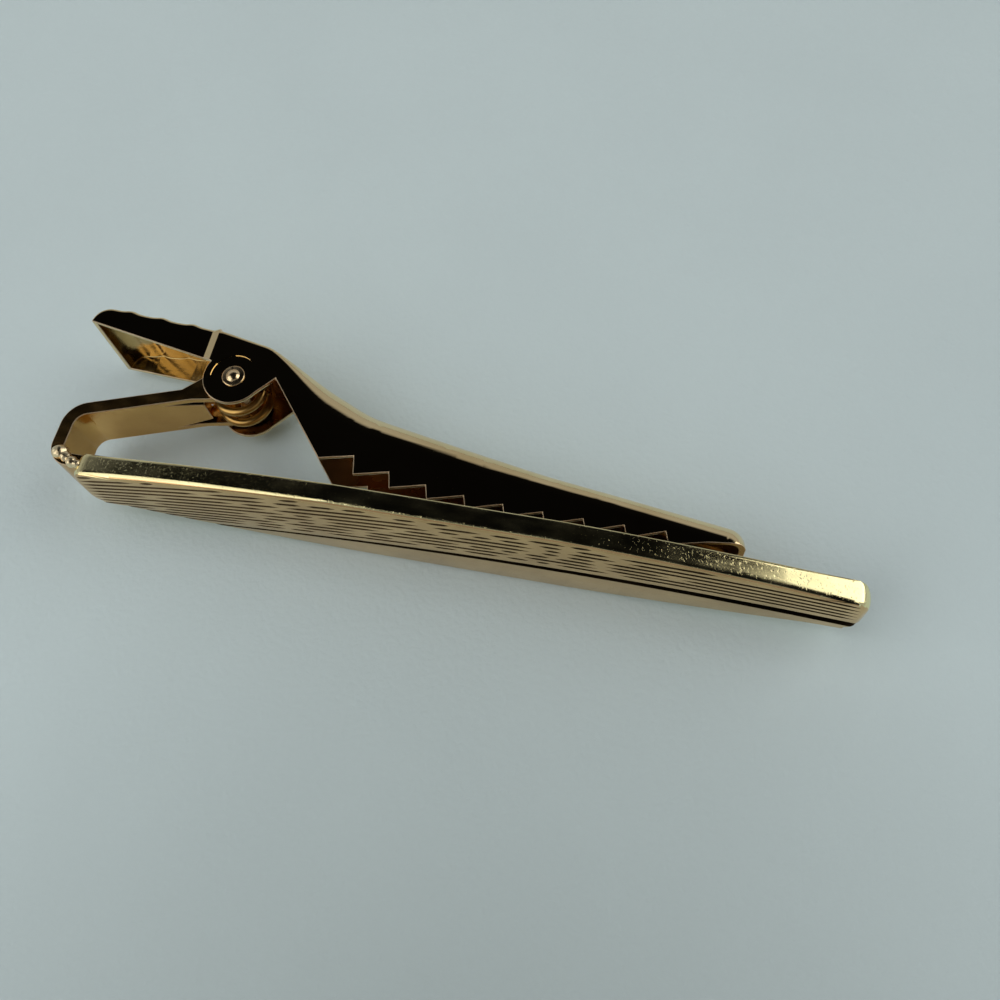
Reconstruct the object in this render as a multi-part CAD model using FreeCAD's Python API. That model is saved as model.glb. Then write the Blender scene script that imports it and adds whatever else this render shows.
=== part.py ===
import FreeCAD, Part
import math
import os

Vector = FreeCAD.Vector

# Hinged tie clip, in millimetres. X runs along the bar to its free end, Y from the bar's
# front face to its back, Z up along the hinge pin. The origin is the middle of the front face.

# Front bar
bar_length = 56.0
bar_mid_height = 8.5
bar_end_height = 4.4
bar_flat = 16.0
bar_thickness = 1.8
bar_corner_radius = 0.9
bar_front_round = 0.35
bar_back_break = 0.15

# Sweeping border groove across the front face
groove_radius = 145.0
groove_width = 0.5
groove_flare = 2.0
groove_depth = 0.3
groove_crest_x = 11.5
groove_crest_drop = 0.2

# Hinge pin and its place, from the bar's left end and from its back
pin_from_end = 9.7
pin_height = 7.9
pin_radius = 0.6
pin_clearance = 0.05
rivet_fit = 0.01
rivet_head_radius = 0.85
rivet_tip_radius = 0.42
rivet_head_height = 0.4

# Return strap: foot, bend, arm and two hinge ears, bent from one strip
strap_thickness = 1.0
strap_reach = 1.7
strap_bend_inside = 0.7
arm_angle = 18.5
arm_below_pin = 0.65
foot_length = 4.0
ear_thickness = 0.5
ear_radius = 1.6
ear_root = 4.2
ear_root_radius = 0.38
tongue_gap = 0.45
relief_length = 2.4
relief_width = 0.7

# Jaw: one channel pressed from sheet, with toothed cheeks, hinge lobes and a thumb tab
jaw_width = 5.3
jaw_sheet = 0.5
jaw_bend = 0.95
jaw_bend_inside = 0.45
jaw_side_gap = 0.1
jaw_reach = 38.1
lobe_radius = 2.3
crook_gap = 0.9
crook_rise = 0.3
joggle_back = 2.25
joggle_lean = 0.35
nose_radius = 1.0
nose_depth = 1.25
nose_lift = 0.6
recess_radius = 1.85
recess_depth = 0.22
back_run_shares = (0.055, 0.253, 0.422, 1.0)
back_rise_shares = (1.356, 0.785, 0.58, 0.302)
back_radii = (4.0, 13.0, 36.0)
joggle_rise_share = 1.477

# Teeth along both cheek edges, from the first tip to the one that meets the bar
tooth_spaces = 9
tooth_rise = 0.65
tooth_step_run = 0.3
tooth_sweep = 4
first_tip_from_pin = 8.15
last_tip_from_pin = 33.0
first_tip_height = 2.43
tip_gap = 0.2

# Thumb tab
tab_length = 12.0
tab_waist_width = 4.3
tab_tip_width = 6.2
tab_web_height = 3.8
tab_root_edge = 1.2
tab_tip_edge = 2.35
tab_tip_round = 1.3
tab_joggle = 0.6
rib_count = 3
rib_radius = 0.8
rib_height = 0.2
rib_spacing = 2.4
rib_first = 4.6
rib_end_gap = 0.3

# Torsion spring
wire_diameter = 0.65
coil_radius = 1.9
coil_pitch = 1.65
coil_turns = 1
coil_steps = 7
leg_run = 1.0
leg_bend = 1.0
strap_leg = 2.5
strap_leg_dip = 9.0
tab_leg = 6.2
tab_leg_lift = 10.0
coil_start_angle = 225.0

# Solder beads at the foot
bead_radius = 0.75
bead_from_end = 0.2

# Run-past for cuts
overrun = 1.0

half_length = bar_length / 2
pin = Vector(pin_from_end - half_length, bar_thickness + pin_height, 0)
arm_direction = Vector(math.cos(math.radians(arm_angle)), math.sin(math.radians(arm_angle)), 0)
arm_normal = Vector(-arm_direction.y, arm_direction.x, 0)
up = Vector(0, 0, 1)
cheek_inside = jaw_width / 2 - jaw_sheet
ear_outside = cheek_inside - jaw_side_gap
ear_inside = ear_outside - ear_thickness
wire_radius = wire_diameter / 2
tongue_end = coil_radius + wire_radius + tongue_gap
part_height = max(bar_mid_height, jaw_width, tab_tip_width)


def line(start, end):
    return Part.LineSegment(start, end).toShape()


def arc(start, middle, end):
    return Part.Arc(start, middle, end).toShape()


def polygon(points):
    return Part.Face(Part.makePolygon(list(points) + [points[0]]))


def prism_between(face, low, high):
    """Extrude a face drawn at z = 0 from one height to another."""
    return face.translated(up * low).extrude(up * (high - low))


def both_sides(shape):
    return [shape, shape.mirror(Vector(0, 0, 0), up)]


def edges_where(shape, test):
    return [edge for edge in shape.Edges if test(edge)]


def turn_at(before, corner, after):
    """Signed turn of a path at a corner, left positive, in radians."""
    first = corner - before
    second = after - corner
    return math.atan2(first.x * second.y - first.y * second.x, first.dot(second))


def rounded_chain(corners, radii):
    """Straight runs through the corners, each inner corner rounded by its radius."""
    edges = []
    start = corners[0]
    for before, corner, after, radius in zip(corners, corners[1:], corners[2:], radii):
        turn = turn_at(before, corner, after)
        setback = radius * math.tan(abs(turn) / 2)
        back = (before - corner).normalize()
        ahead = (after - corner).normalize()
        middle_way = (back + ahead).normalize()
        inset = radius / math.cos(turn / 2) - radius
        enter = corner + back * setback
        leave = corner + ahead * setback
        edges.append(line(start, enter))
        edges.append(arc(enter, corner + middle_way * inset, leave))
        start = leave
    edges.append(line(start, corners[-1]))
    return edges


def left_normal(start, end):
    way = (end - start).normalize()
    return Vector(-way.y, way.x, 0)


def shifted_corners(corners, distance):
    """The corners of the parallel path, to the left for a positive distance."""
    shifted = [corners[0] + left_normal(corners[0], corners[1]) * distance]
    for before, corner, after in zip(corners, corners[1:], corners[2:]):
        first = left_normal(before, corner)
        second = left_normal(corner, after)
        shifted.append(corner + (first + second) * (distance / (1 + first.dot(second))))
    shifted.append(corners[-1] + left_normal(corners[-2], corners[-1]) * distance)
    return shifted


def shifted_radii(corners, radii, distance):
    """Radii that keep the parallel path's arcs about the same centres."""
    turns = [turn_at(*three) for three in zip(corners, corners[1:], corners[2:])]
    return [radius - distance * math.copysign(1, turn) for radius, turn in zip(radii, turns)]


def path_end(edges):
    return edges[-1].Vertexes[-1].Point


def bent_strip(corners, radii, thickness):
    """Face of a strip of even thickness along a path with rounded corners."""
    sides = []
    for distance in (thickness / 2, -thickness / 2):
        side_corners = shifted_corners(corners, distance)
        side_radii = shifted_radii(corners, radii, distance)
        sides.append(rounded_chain(side_corners, side_radii))
    left, right = sides
    start_cap = line(left[0].Vertexes[0].Point, right[0].Vertexes[0].Point)
    end_cap = line(path_end(left), path_end(right))
    return Part.Face(Part.Wire(left + [end_cap] + right[::-1] + [start_cap]))


def teardrop(big_centre, big_radius, small_centre, small_radius):
    """Face of two discs joined by their outer tangents."""
    span = small_centre - big_centre
    lean = math.acos((big_radius - small_radius) / span.Length)
    way = math.atan2(span.y, span.x)
    touches = []
    for angle in (way + lean, way - lean):
        ray = Vector(math.cos(angle), math.sin(angle), 0)
        touches.append((big_centre + ray * big_radius, small_centre + ray * small_radius))
    (big_left, small_left), (big_right, small_right) = touches
    axis = span.normalize()
    outline = [
        line(big_left, small_left),
        arc(small_left, small_centre + axis * small_radius, small_right),
        line(small_right, big_right),
        arc(big_right, big_centre - axis * big_radius, big_left),
    ]
    return Part.Face(Part.Wire(outline))


def post(centre, radius, low, high):
    return Part.makeCylinder(radius, high - low, centre + up * low, up)


def bar_quarter():
    """A quarter of the bar's outline: half of the flat, an arc that falls to the end, half the end."""
    flat_end = Vector(bar_flat / 2, 0, bar_mid_height / 2)
    corner = Vector(half_length, 0, bar_end_height / 2)
    centre_z = (flat_end.dot(flat_end) - corner.dot(corner)) / (2 * (flat_end.z - corner.z))
    centre = Vector(0, 0, centre_z)
    ray = (flat_end + corner) / 2 - centre
    middle = centre + ray.normalize() * flat_end.distanceToPoint(centre)
    top = Vector(0, 0, bar_mid_height / 2)
    return [line(top, flat_end), arc(flat_end, middle, corner), line(corner, Vector(half_length, 0, 0))]


def front_bar():
    origin = Vector(0, 0, 0)
    along = Vector(1, 0, 0)
    upper = bar_quarter() + [edge.mirror(origin, along) for edge in bar_quarter()]
    edges = upper + [edge.mirror(origin, up) for edge in upper]
    outline = Part.Wire(Part.__sortEdges__(edges))
    bar = Part.Face(outline).extrude(Vector(0, bar_thickness, 0)).removeSplitter()
    corners = edges_where(bar, lambda e: abs(e.tangentAt(e.FirstParameter).y) > 1 / 2
                          and abs(e.BoundBox.Center.x) > half_length - bar_corner_radius)
    bar = bar.makeFillet(bar_corner_radius, corners)
    front = edges_where(bar, lambda e: e.BoundBox.YMax < bar_thickness / 2)
    bar = bar.makeFillet(bar_front_round, front)
    back = edges_where(bar, lambda e: e.BoundBox.YMin > bar_thickness - bar_back_break / 2)
    bar = bar.makeChamfer(bar_back_break, back)
    bar = bar.cut(border_groove())
    return bar.cut(foot_seat())


def border_groove():
    """A band between two circles whose centres lie apart, so that it widens to the free end."""
    centre = Vector(groove_crest_x, -overrun, -groove_crest_drop - groove_radius)
    depth = groove_depth + overrun
    into = Vector(0, 1, 0)
    outer = Part.makeCylinder(groove_radius + groove_width / 2, depth, centre, into)
    inner_centre = centre - Vector(groove_flare, 0, 0)
    inner = Part.makeCylinder(groove_radius - groove_width / 2, depth, inner_centre, into)
    return outer.cut(inner)


def foot_seat():
    """The step in the back of the bar's left end that takes the strap's foot."""
    corner = Vector(-half_length - overrun, bar_thickness - strap_thickness, -part_height)
    return Part.makeBox(foot_length + overrun, strap_thickness + overrun, 2 * part_height, corner)


def arm_point(along, off):
    """A point by its distance along the arm from the pin and off the pin's own line."""
    return pin + arm_direction * along + arm_normal * off


def return_strap():
    foot_y = bar_thickness - strap_thickness / 2
    bend_x = -half_length - strap_reach
    tongue = arm_point(-tongue_end, -arm_below_pin)
    rise = (bend_x - tongue.x) * math.tan(math.radians(arm_angle))
    corners = [
        Vector(foot_length - half_length, foot_y, 0),
        Vector(bend_x, foot_y, 0),
        Vector(bend_x, tongue.y + rise, 0),
        tongue,
    ]
    bend_radius = strap_bend_inside + strap_thickness / 2
    strip = bent_strip(corners, [bend_radius, bend_radius], strap_thickness)
    strap = prism_between(strip, -ear_outside, ear_outside)
    for cutter in both_sides(ear_relief()):
        strap = strap.cut(cutter)
    ear_face = teardrop(pin, ear_radius, arm_point(-ear_root, -arm_below_pin), ear_root_radius)
    ear = prism_between(ear_face, ear_inside, ear_outside)
    strap = strap.fuse(both_sides(ear)).removeSplitter()
    hole = post(pin, pin_radius + pin_clearance, -jaw_width, jaw_width)
    return strap.cut(hole)


def ear_relief():
    """A wedge slit between the tongue and an ear, so that the ear can be bent up."""
    low = -arm_below_pin - strap_thickness
    wedge = polygon([
        arm_point(-tongue_end + overrun, low) + up * ear_inside,
        arm_point(-tongue_end + overrun, low) + up * (ear_inside - relief_width),
        arm_point(-tongue_end - relief_length, low) + up * ear_inside,
    ])
    return wedge.extrude(arm_normal * (2 * strap_thickness))


def back_corners():
    """The corners of the jaw's back line, from the tab to the end of its nose."""
    corners = [pin + Vector(-joggle_back, (joggle_rise_share - 1) * pin_height, 0)]
    for run, rise in zip(back_run_shares, back_rise_shares):
        corners.append(Vector(pin.x + run * jaw_reach, bar_thickness + rise * pin_height, 0))
    corners.append(corners[-1] - Vector(0, nose_depth, 0))
    return corners


def tooth_line():
    """The saw edge of a cheek, from the first tip to the last, on a curve that meets the bar."""
    pitch = (last_tip_from_pin - first_tip_from_pin) / tooth_spaces
    reach = last_tip_from_pin - first_tip_from_pin
    points = []
    for space in range(tooth_spaces + 1):
        left = reach - space * pitch
        lift = (first_tip_height - tip_gap) * (left / reach) ** tooth_sweep
        tip = Vector(pin.x + last_tip_from_pin - left, bar_thickness + tip_gap + lift, 0)
        rise = tooth_rise if space < tooth_spaces else nose_lift
        points.append(tip)
        points.append(tip + Vector(pitch - tooth_step_run, rise, 0))
    return points


def cheek_face():
    """The outline of a cheek with its teeth and the round lobe about the pin."""
    corners = back_corners()
    back = rounded_chain(corners, list(back_radii) + [nose_radius])
    crook = pin + Vector(lobe_radius + crook_gap, crook_rise, 0)
    joggle = pin + Vector(-joggle_back - joggle_lean, tab_root_edge, 0)
    lobe_right = pin + Vector(lobe_radius, 0, 0)
    lobe_low = pin - Vector(0, lobe_radius, 0)
    lobe_left = pin + (joggle - pin).normalize() * lobe_radius
    under = [corners[-1]] + tooth_line()[::-1] + [crook, lobe_right]
    edges = back + [line(a, b) for a, b in zip(under, under[1:])]
    edges.append(arc(lobe_right, lobe_low, lobe_left))
    edges += [line(lobe_left, joggle), line(joggle, corners[0])]
    return Part.Face(Part.Wire(edges))


def jaw_outer():
    half = jaw_width / 2
    body = prism_between(cheek_face(), -half, half)
    back = Part.Wire(rounded_chain(back_corners(), list(back_radii) + [nose_radius]))
    bends = []
    for height in (-half, half):
        level = back.translated(up * height)
        bends += edges_where(body, lambda e: lies_on(e, level))
    return body.makeFillet(jaw_bend, bends)


def lies_on(edge, wire):
    middle = edge.valueAt((edge.FirstParameter + edge.LastParameter) / 2)
    return Part.Vertex(middle).distToShape(wire)[0] < jaw_bend_inside / 100


def jaw_cavity():
    """The open inside of the channel, from the back web out past the teeth."""
    corners = back_corners()
    radii = list(back_radii) + [nose_radius]
    inner_radii = shifted_radii(corners, radii, -jaw_sheet)
    inner = shifted_corners(corners, -jaw_sheet)
    inner[-1] -= Vector(0, pin_height, 0)
    back = rounded_chain(inner, inner_radii)
    floor = Vector(inner[0].x, inner[-1].y, 0)
    edges = back + [line(inner[-1], floor), line(floor, inner[0])]
    cavity = prism_between(Part.Face(Part.Wire(edges)), -cheek_inside, cheek_inside)
    wire = Part.Wire(back)
    bends = []
    for height in (-cheek_inside, cheek_inside):
        level = wire.translated(up * height)
        bends += edges_where(cavity, lambda e: lies_on(e, level))
    return cavity.makeFillet(jaw_bend_inside, bends)


def tab_block(inset):
    """The tab's outer block, or for an inset of one sheet the space inside it."""
    tip_x = pin.x - tab_length
    waist_x = pin.x - joggle_back - tab_joggle
    root_x = pin.x - joggle_back + jaw_sheet
    web_y = pin.y + tab_web_height - inset
    end_x = tip_x + inset
    low = 2 * inset
    side = polygon([
        Vector(root_x, web_y, 0),
        Vector(end_x, web_y, 0),
        Vector(end_x, pin.y + tab_tip_edge - low, 0),
        Vector(waist_x, pin.y + tab_root_edge - low, 0),
        Vector(root_x, pin.y + tab_root_edge - low, 0),
    ])
    block = prism_between(side, -part_height, part_height)
    plan = polygon([
        Vector(end_x, 0, tab_tip_width / 2 - inset),
        Vector(waist_x, 0, tab_waist_width / 2 - inset),
        Vector(pin.x - joggle_back, 0, jaw_width / 2 - inset),
        Vector(root_x, 0, jaw_width / 2 - inset),
        Vector(root_x, 0, inset - jaw_width / 2),
        Vector(pin.x - joggle_back, 0, inset - jaw_width / 2),
        Vector(waist_x, 0, inset - tab_waist_width / 2),
        Vector(end_x, 0, inset - tab_tip_width / 2),
    ])
    block = block.common(plan.extrude(Vector(0, bar_length, 0)))
    tip_edge = edges_where(block, lambda e: e.BoundBox.YMin > web_y - overrun / 10
                           and e.BoundBox.XMax < end_x + overrun / 10)
    return block.makeFillet(tab_tip_round - inset, tip_edge)


def tab_outer():
    block = tab_block(0)
    web_y = pin.y + tab_web_height
    sides = edges_where(block, lambda e: e.BoundBox.YMin > web_y - overrun / 10
                        and e.BoundBox.XMax < pin.x - joggle_back - tab_joggle + overrun / 10
                        and e.BoundBox.XLength > tab_length / 2)
    return block.makeFillet(jaw_bend, sides)


def thumb_ribs():
    """Cross ribs on the tab's back, each a low round bar with rounded ends."""
    ribs = []
    for index in range(rib_count):
        away = rib_first + index * rib_spacing
        share = (away - joggle_back - tab_joggle) / (tab_length - joggle_back - tab_joggle)
        width = tab_waist_width + share * (tab_tip_width - tab_waist_width)
        half = width / 2 - rib_end_gap
        centre = pin + Vector(-away, tab_web_height + rib_height - rib_radius, 0)
        ribs.append(post(centre, rib_radius, -half, half))
    return ribs


def jaw():
    web_floor = pin.y + tab_web_height - jaw_sheet
    body = jaw_outer().fuse(tab_outer())
    keep = Part.makeBox(bar_length, bar_length, 2 * part_height,
                        Vector(pin.x - bar_length, web_floor, -part_height))
    for rib in thumb_ribs():
        body = body.fuse(rib.common(keep))
    body = body.cut(jaw_cavity()).cut(tab_block(jaw_sheet))
    half = jaw_width / 2
    body = body.cut(post(pin, pin_radius + rivet_fit, -jaw_width, jaw_width))
    recess = post(pin, recess_radius, half - recess_depth, half + overrun)
    for pocket in both_sides(recess):
        body = body.cut(pocket)
    return body.removeSplitter()


def hinge_rivet():
    """A round pin with a low coned head seated in the recess of each cheek."""
    seat = jaw_width / 2 - recess_depth
    head = Part.makeCone(rivet_head_radius, rivet_tip_radius, rivet_head_height, pin + up * seat, up)
    return post(pin, pin_radius, -seat, seat).fuse(both_sides(head)).removeSplitter()


def heading(degrees):
    return Vector(math.cos(math.radians(degrees)), math.sin(math.radians(degrees)), 0)


def biarc(start, start_way, end, end_way):
    """Two arcs from one point and direction to another, smooth where they meet."""
    span = end - start
    ways = start_way + end_way
    sharp = 2 * (1 - start_way.dot(end_way))
    lean = span.dot(ways)
    reach = (math.sqrt(lean * lean + sharp * span.dot(span)) - lean) / sharp
    first_knee = start + start_way * reach
    last_knee = end - end_way * reach
    join = (first_knee + last_knee) / 2
    return [knee_arc(start, first_knee, join), knee_arc(join, last_knee, end)]


def knee_arc(start, knee, end):
    """The arc that touches both legs of a corner at its two ends."""
    middle = (start + end) / 2
    opening = (end - start).Length / 2 / (knee - start).Length
    return arc(start, middle + (knee - middle) * (opening / (1 + opening)), end)


def spring_path():
    end_angle = 90 - tab_leg_lift + 360 * (coil_turns + 1)
    step = (end_angle - coil_start_angle) / coil_steps
    climb = coil_pitch * step / 360
    slope = coil_pitch / (2 * math.pi * coil_radius)
    stations = []
    for index in range(coil_steps + 1):
        at_end = index in (0, coil_steps)
        level = (index - coil_steps / 2) * climb
        level -= math.copysign(climb / 2, level) if at_end else 0
        angle = coil_start_angle + index * step
        way = heading(angle + 90) + (Vector(0, 0, 0) if at_end else up * slope)
        stations.append((pin + heading(angle) * coil_radius + up * level, way.normalize()))
    turns = []
    for (start, start_way), (end, end_way) in zip(stations, stations[1:]):
        turns += biarc(start, start_way, end, end_way)
    return strap_side_leg(stations[0][0])[::-1] + turns + tab_side_leg(*stations[-1])


def strap_side_leg(start):
    """Straight out of the coil, round a bend and down along the strap's arm."""
    out = coil_start_angle - 90
    down = 180 + arm_angle + strap_leg_dip
    bend_start = start + heading(out) * leg_run
    knee_reach = leg_bend * math.tan(math.radians(down - out) / 2)
    knee = bend_start + heading(out) * knee_reach
    bend_end = knee + heading(down) * knee_reach
    tip = bend_end + heading(down) * strap_leg
    return [line(bend_start, start), knee_arc(bend_end, knee, bend_start), line(tip, bend_end)]


def tab_side_leg(start, way):
    return [line(start, start + way * tab_leg)]


def torsion_spring():
    edges = spring_path()
    path = Part.Wire(edges)
    first = edges[0]
    section = Part.Wire(Part.makeCircle(wire_radius, first.valueAt(first.FirstParameter),
                                        first.tangentAt(first.FirstParameter)))
    shell = Part.BRepOffsetAPI.MakePipeShell(path)
    shell.add(section)
    shell.build()
    shell.makeSolid()
    print("spring least gap", round(least_gap(path), 3))
    return shell.shape()


def least_gap(path):
    """Least clear space between stretches of the wire a half turn or more apart."""
    count = coil_steps * 24
    points = path.discretize(count)
    half_turn = int(math.pi * coil_radius / (path.Length / (count - 1)))
    gaps = []
    for index, point in enumerate(points):
        for other in points[index + half_turn:]:
            gaps.append(point.distanceToPoint(other))
    return min(gaps) - wire_diameter


def solder_fillet(neighbours):
    """A lump of solder at the top and bottom edges of the foot, where it leaves the bar's end."""
    centre = Vector(bead_from_end - half_length, bar_thickness - strap_thickness / 2, ear_outside)
    lumps = []
    for lump in both_sides(Part.makeSphere(bead_radius, centre)):
        for neighbour in neighbours:
            lump = lump.cut(neighbour)
        lumps += lump.Solids
    return Part.makeCompound(lumps)


def main():
    os.makedirs("parts", exist_ok=True)
    bar = front_bar()
    strap = return_strap()
    nodes = {
        "front_bar": bar,
        "return_strap": strap,
        "solder_fillet": solder_fillet([bar, strap]),
        "jaw": jaw(),
        "hinge_rivet": hinge_rivet(),
        "torsion_spring": torsion_spring(),
    }
    for name, shape in nodes.items():
        shape.exportStep("parts/" + name + ".step")
        print(name, len(shape.Solids), round(shape.Volume, 3), shape.isValid())


main()
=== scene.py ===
import math
import random

import bmesh
import bpy
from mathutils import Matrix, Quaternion, Vector


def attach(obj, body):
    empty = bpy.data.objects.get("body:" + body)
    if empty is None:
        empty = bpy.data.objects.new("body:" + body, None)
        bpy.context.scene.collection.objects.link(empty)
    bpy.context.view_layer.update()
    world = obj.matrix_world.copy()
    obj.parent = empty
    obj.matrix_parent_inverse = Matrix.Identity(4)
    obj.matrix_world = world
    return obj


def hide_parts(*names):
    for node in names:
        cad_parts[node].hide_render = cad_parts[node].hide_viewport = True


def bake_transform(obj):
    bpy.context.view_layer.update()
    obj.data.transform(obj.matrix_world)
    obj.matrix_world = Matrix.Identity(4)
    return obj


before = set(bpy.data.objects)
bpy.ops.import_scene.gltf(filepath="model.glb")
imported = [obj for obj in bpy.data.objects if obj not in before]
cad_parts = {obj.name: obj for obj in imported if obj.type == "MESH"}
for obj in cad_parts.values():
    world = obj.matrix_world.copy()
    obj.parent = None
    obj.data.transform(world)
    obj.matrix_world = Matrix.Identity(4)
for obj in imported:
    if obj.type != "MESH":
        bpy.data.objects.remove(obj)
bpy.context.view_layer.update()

mm = 0.001

# Small allowances, in millimetres, for joining corners, cutting, finding edges and overrunning a piece
weld_distance = 0.0005
slice_slack = 0.0001
no_length = 1e-6
level_slack = 0.001
end_slack = 0.01
cutter_overrun = 1.0

# Angles, in degrees, under which faces are one plane and over which an edge is rounded, and the rounding
flat_angle = 0.12
sharp_angle = 40.0
edge_round = 0.06

# Front bar, in millimetres: its outline as the frame has it, its roundings, dome and ends, and the foot's seat
bar_half_length = 28.0
bar_half_height = 4.25
bar_thickness = 1.8
edge_circle_radius = 176.816
edge_circle_drop = 172.385
outline_sides = 450
corner_setback = 1.1
corner_steps = 8
front_edge_round = 0.42
front_edge_steps = 7
back_edge_break = 0.15
back_edge_steps = 2
face_dome_radius = 34.0
dome_rows = 7
dome_row_spacing = 0.6
rim_lean = 0.6
end_levels = (0.6, 0.8, 1.0, 1.25, 1.5)
end_bulge = 0.22
end_bulge_run = 0.9
foot_seat_length = 4.0
foot_seat_depth = 1.0
foot_half_width = 2.05
seat_overrun = 2.0

# Border groove and engraved lines, on circles about one centre
groove_circle_radius = 145.0
groove_centre = (11.5, -145.2)
groove_width = 0.66
groove_flare = 2.0
groove_depth = 0.3
groove_sides = 900
first_line = 0.98
line_spacing = 0.51
line_count = 14
line_depth = 0.17
line_half_width = 0.125
line_margin = 0.3
line_step = 1.0
fewest_line_steps = 4
line_fade = 0.5
line_fade_lift = 1.05
shortest_line = 0.6
probes_per_mm = 4
probe_count = 110

# Plain patches that break the lines: their places, how far they wander, their widths and how often they come
plain_patches = (-22.3, -16.8, -14.4, -12.0, -9.4, -6.6, -4.0, -0.8,
                 1.4, 3.4, 5.7, 8.0, 11.2, 14.9, 19.2)
patch_wander = 0.8
patch_half_gaps = (0.1, 0.4)
patch_clearance = 0.8
middle_half_length = 13.0
middle_break_chance = 0.65
end_break_chance = 0.15
past_the_end = 2.0
engraver_seed = 7

# Hinge: the pin's place, the pin, its flanges and bosses, and the holes for it
hinge_pin = (-18.3, 9.7)
pin_radius = 0.6
pin_half_length = 2.6
pin_sides = 48
flange_radius = 0.85
flange_faces = (2.57, 2.66)
boss_radius = 0.5
boss_flatness = 0.6
boss_seat = 2.58
jaw_hole_radius = 0.61
ear_hole_radius = 0.65
hole_sides = 40
hole_reach = 4.0

# Return strap: its arm, bends and ears, and the solder along its foot as x, y, z and radius
arm_angle = 18.5
arm_below_pin = 0.65
strap_thickness = 1.0
strap_reach = 1.7
strap_bends = (1.2, 1.6)
ear_inside = 1.55
ear_radius = 1.6
ear_root = 4.2
ear_root_radius = 0.38
tongue_end = 2.675
relief_length = 2.4
relief_width = 0.7
solder_drops = ((-29.3, 1.75, 1.9, 0.6), (-28.7, 1.45, 1.95, 0.42),
                (-28.1, 1.15, 2.05, 0.44), (-27.65, 1.0, 2.1, 0.3))
solder_voxel = 0.05
solder_lump_size = 0.55
solder_lump_rise = 0.18
round_steps = 24

# Pressed jaw: the line of its back, its bends, and the edge of its cheeks
sheet = 0.3
jaw_half_width = 2.65
tab_tip = (-30.3, 13.65)
tab_half_widths = (3.45, 2.25)
tab_tip_round = 1.3
tab_edge = ((-30.3, 12.15), (-21.15, 11.0))
tab_edge_rise = 0.125
joggle_x = -20.55
joggle_run = 0.75
joggle_foot = (-20.9, 10.9)
back_corners = ((-20.55, 13.47), (-16.2, 12.6), (-7.5, 8.7), (6.0, 6.13), (19.8, 4.19))
back_rounds = (4.0, 10.0, 60.0)
nose_round = 1.4
bend_steps = 12
tab_bend = 0.32
back_bend_gain = 1.6
back_bend_run = (-16.5, -10.5)
nose_bend_loss = 0.35
nose_bend_run = (-2.0, 12.0)
least_bend = 0.08
most_stretch = 3.0
bend_lines = 9
trough_floor = -2.0
rim_reach = 0.1
ribs = (-22.9, -25.3, -27.7)
rib_rise = 0.15
rib_half_length = 0.5
crook = (-15.1, 10.0)
lobe_radius = 2.3
lobe_turn = (155.0, 330.0)
lobe_recess = (1.75, 0.06)
recess_sides = 64
tooth_spaces = 9
tooth_rise = 0.56
tooth_rise_growth = 0.042
tooth_step = 0.3
first_tip = (-10.15, 2.43)
last_tip = (14.7, 0.2)
tip_lift_power = 4
nose_lift = 0.6
nose_edge = 2.95
nose_edge_rise = 0.1
nose_depth = 1.75
cheek_top = 16.0
cheek_reach = 6.0

# Places along the jaw where its section is drawn, closer at the tab, its tip and the nose
tip_inset = 0.02
tip_places = 10
tab_spacing = 0.12
tab_places = 75
back_spacing = 0.35
back_places = 110
nose_run = 2.2
nose_clearance = 2.3
nose_places = 24


def choose(piece):
    """Make one piece the only selected and active one."""
    bpy.ops.object.select_all(action="DESELECT")
    piece.select_set(True)
    bpy.context.view_layer.objects.active = piece


def settle(piece):
    """Put a piece's place, turn and size into its mesh."""
    choose(piece)
    bpy.ops.object.transform_apply(location=True, rotation=True, scale=True)


def pick_edges(piece, test):
    """In edit mode, select the edges whose two ends pass a test."""
    bpy.ops.mesh.select_mode(type="EDGE")
    bpy.ops.mesh.select_all(action="DESELECT")
    mesh = bmesh.from_edit_mesh(piece.data)
    for edge in mesh.edges:
        if test(edge.verts[0].co / mm, edge.verts[1].co / mm):
            edge.select_set(True)
    bmesh.update_edit_mesh(piece.data)


def bevel_edges(piece, test, width, segments):
    choose(piece)
    bpy.ops.object.mode_set(mode="EDIT")
    pick_edges(piece, test)
    bpy.ops.mesh.bevel(offset=width * mm, offset_type="OFFSET", segments=segments, affect="EDGES")
    bpy.ops.object.mode_set(mode="OBJECT")


def slice_at(piece, point, normal, clear):
    """Cut a piece by a plane, and where asked take away what lies past it."""
    choose(piece)
    bpy.ops.object.mode_set(mode="EDIT")
    bpy.ops.mesh.select_all(action="SELECT")
    bpy.ops.mesh.bisect(plane_co=Vector(point) * mm, plane_no=normal, use_fill=clear, clear_outer=clear,
                        threshold=slice_slack * mm)
    bpy.ops.object.mode_set(mode="OBJECT")


def carve(piece, cutter, operation="DIFFERENCE"):
    """Cut, join or keep what is common, and take the cutter away. Cut faces keep the cutter's finish."""
    choose(piece)
    cut = piece.modifiers.new("carve", "BOOLEAN")
    cut.operation = operation
    cut.object = cutter
    cut.solver = "EXACT"
    cut.material_mode = "TRANSFER"
    bpy.ops.object.modifier_apply(modifier=cut.name)
    bpy.data.objects.remove(cutter)


def recalculate_outside(piece):
    choose(piece)
    bpy.ops.object.mode_set(mode="EDIT")
    bpy.ops.mesh.select_all(action="SELECT")
    bpy.ops.mesh.remove_doubles(threshold=weld_distance * mm)
    bpy.ops.mesh.normals_make_consistent(inside=False)
    bpy.ops.object.mode_set(mode="OBJECT")


def smooth(piece, degrees):
    choose(piece)
    bpy.ops.object.shade_smooth_by_angle(angle=math.radians(degrees))
    even = piece.modifiers.new("even", "WEIGHTED_NORMAL")
    even.keep_sharp = True
    bpy.ops.object.modifier_apply(modifier=even.name)


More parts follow.
